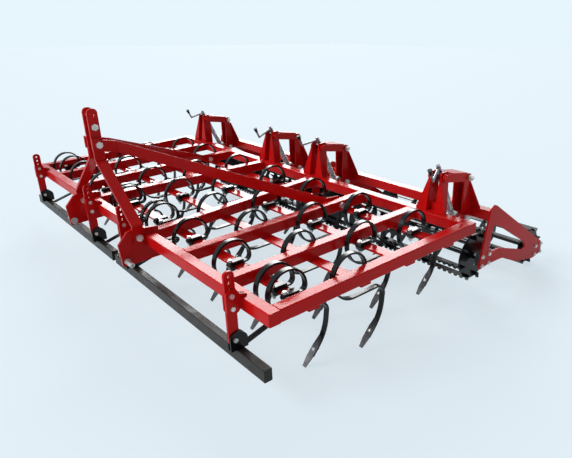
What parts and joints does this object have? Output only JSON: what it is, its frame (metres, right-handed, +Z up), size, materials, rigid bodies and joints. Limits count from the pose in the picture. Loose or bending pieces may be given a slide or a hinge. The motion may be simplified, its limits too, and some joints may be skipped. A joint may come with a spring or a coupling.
{
  "type": "seedbed cultivator",
  "caption": "Mounted seedbed cultivator: welded box frame with looped spring tines, levelling bars in front and two height-set roller gangs behind",
  "frame": {"origin": "ground level, centre of the footprint", "axes": "X across the machine (+X its left side), -Y the direction of travel, +Z up"},
  "size_m": [3, 2.5136, 1.0444],
  "materials": {
    "red_paint": "gloss scarlet paint over welded steel",
    "black_enamel": "semi-gloss black enamel",
    "point_steel": "dark satin forged steel",
    "bar_brown": "dark grey-brown primer",
    "pin_steel": "turned bright steel",
    "spindle_steel": "zinc-plated screw",
    "zinc_bolts": "bright zinc plating",
    "bearing_iron": "black painted cast housing",
    "knob_plastic": "black moulded plastic"
  },
  "bodies": {
    "frame": {"cross_beams": "red_paint", "beam_caps": "red_paint", "side_beams": "red_paint", "inner_beams": "red_paint", "tine_bars": "red_paint", "tines_row_1": "black_enamel", "tines_row_2": "black_enamel", "tines_row_3": "black_enamel", "tines_row_4": "black_enamel", "tine_points": "point_steel", "levelling_springs": "black_enamel", "tine_clamps": "black_enamel", "hitch_plates": "red_paint", "hitch_pins": "pin_steel", "mast_plates": "red_paint", "mast_legs": "red_paint", "rear_stays": "red_paint", "frame_bolts": "zinc_bolts", "hanger_posts": "red_paint", "hanger_brackets": "red_paint", "levelling_lugs": "black_enamel", "levelling_bars": "bar_brown", "front_posts": "red_paint", "front_link_pins": "pin_steel"},
    "left_lower_linkage": {"left_lower_links": "red_paint"},
    "left_nuts": {"left_spindle_nuts": "pin_steel"},
    "left_upper_linkage": {"left_upper_links": "red_paint"},
    "left_screws": {"left_spindles": "spindle_steel", "left_crank_knobs": "knob_plastic"},
    "left_gang": {"left_gang_beam": "red_paint", "left_rear_link_pins": "pin_steel", "left_end_plates": "red_paint", "left_bearings": "bearing_iron"},
    "left_front_drum": {"left_front_roller": "black_enamel"},
    "left_rear_drum": {"left_rear_roller": "black_enamel"},
    "right_lower_linkage": {"right_lower_links": "red_paint"},
    "right_nuts": {"right_spindle_nuts": "pin_steel"},
    "right_upper_linkage": {"right_upper_links": "red_paint"},
    "right_screws": {"right_spindles": "spindle_steel", "right_crank_knobs": "knob_plastic"},
    "right_gang": {"right_gang_beam": "red_paint", "right_rear_link_pins": "pin_steel", "right_end_plates": "red_paint", "right_bearings": "bearing_iron"},
    "right_front_drum": {"right_front_roller": "black_enamel"},
    "right_rear_drum": {"right_rear_roller": "black_enamel"}
  },
  "joints": [
    {"name": "left_height", "type": "hinge", "parent": "frame", "child": "left_lower_linkage", "pos_m": [0.735, 0.24633, 0.47143], "axis": [1, 0, 0], "range_deg": [-8, 10]},
    {"name": "left_upper_link", "type": "hinge", "parent": "frame", "child": "left_upper_linkage", "pos_m": [0.735, 0.23065, 0.70891], "axis": [1, 0, 0], "range_deg": [-8, 10]},
    {"name": "left_gang_hang", "type": "hinge", "parent": "left_lower_linkage", "child": "left_gang", "pos_m": [0.735, 0.46057, 0.44449], "axis": [1, 0, 0], "range_deg": [-10, 8]},
    {"name": "left_screw_tilt", "type": "hinge", "parent": "frame", "child": "left_screws", "pos_m": [0.735, 0.24409, 0.71782], "axis": [1, 0, 0], "range_deg": [-8, 8]},
    {"name": "left_nut_tilt", "type": "hinge", "parent": "left_lower_linkage", "child": "left_nuts", "pos_m": [0.735, 0.39416, 0.45284], "axis": [1, 0, 0], "range_deg": [-8, 8]},
    {"name": "left_front_roller_turn", "type": "hinge", "parent": "left_gang", "child": "left_front_drum", "pos_m": [0.735, 0.51943, 0.20585], "axis": [1, 0, 0], "continuous": true},
    {"name": "left_rear_roller_turn", "type": "hinge", "parent": "left_gang", "child": "left_rear_drum", "pos_m": [0.735, 1.13401, 0.12617], "axis": [1, 0, 0], "continuous": true},
    {"name": "right_height", "type": "hinge", "parent": "frame", "child": "right_lower_linkage", "pos_m": [-0.735, 0.24633, 0.47143], "axis": [1, 0, 0], "range_deg": [-8, 10]},
    {"name": "right_upper_link", "type": "hinge", "parent": "frame", "child": "right_upper_linkage", "pos_m": [-0.735, 0.23065, 0.70891], "axis": [1, 0, 0], "range_deg": [-8, 10]},
    {"name": "right_gang_hang", "type": "hinge", "parent": "right_lower_linkage", "child": "right_gang", "pos_m": [-0.735, 0.46057, 0.44449], "axis": [1, 0, 0], "range_deg": [-10, 8]},
    {"name": "right_screw_tilt", "type": "hinge", "parent": "frame", "child": "right_screws", "pos_m": [-0.735, 0.24409, 0.71782], "axis": [1, 0, 0], "range_deg": [-8, 8]},
    {"name": "right_nut_tilt", "type": "hinge", "parent": "right_lower_linkage", "child": "right_nuts", "pos_m": [-0.735, 0.39416, 0.45284], "axis": [1, 0, 0], "range_deg": [-8, 8]},
    {"name": "right_front_roller_turn", "type": "hinge", "parent": "right_gang", "child": "right_front_drum", "pos_m": [-0.735, 0.51943, 0.20585], "axis": [1, 0, 0], "continuous": true},
    {"name": "right_rear_roller_turn", "type": "hinge", "parent": "right_gang", "child": "right_rear_drum", "pos_m": [-0.735, 1.13401, 0.12617], "axis": [1, 0, 0], "continuous": true}
  ],
  "couplings": [
    {"joint": "left_upper_link", "follows": "left_height", "ratio": 1},
    {"joint": "left_gang_hang", "follows": "left_height", "ratio": -1},
    {"joint": "left_screw_tilt", "follows": "left_height", "ratio": 0.2923},
    {"joint": "left_nut_tilt", "follows": "left_height", "ratio": -0.7077},
    {"joint": "right_upper_link", "follows": "right_height", "ratio": 1},
    {"joint": "right_gang_hang", "follows": "right_height", "ratio": -1},
    {"joint": "right_screw_tilt", "follows": "right_height", "ratio": 0.2923},
    {"joint": "right_nut_tilt", "follows": "right_height", "ratio": -0.7077}
  ]
}
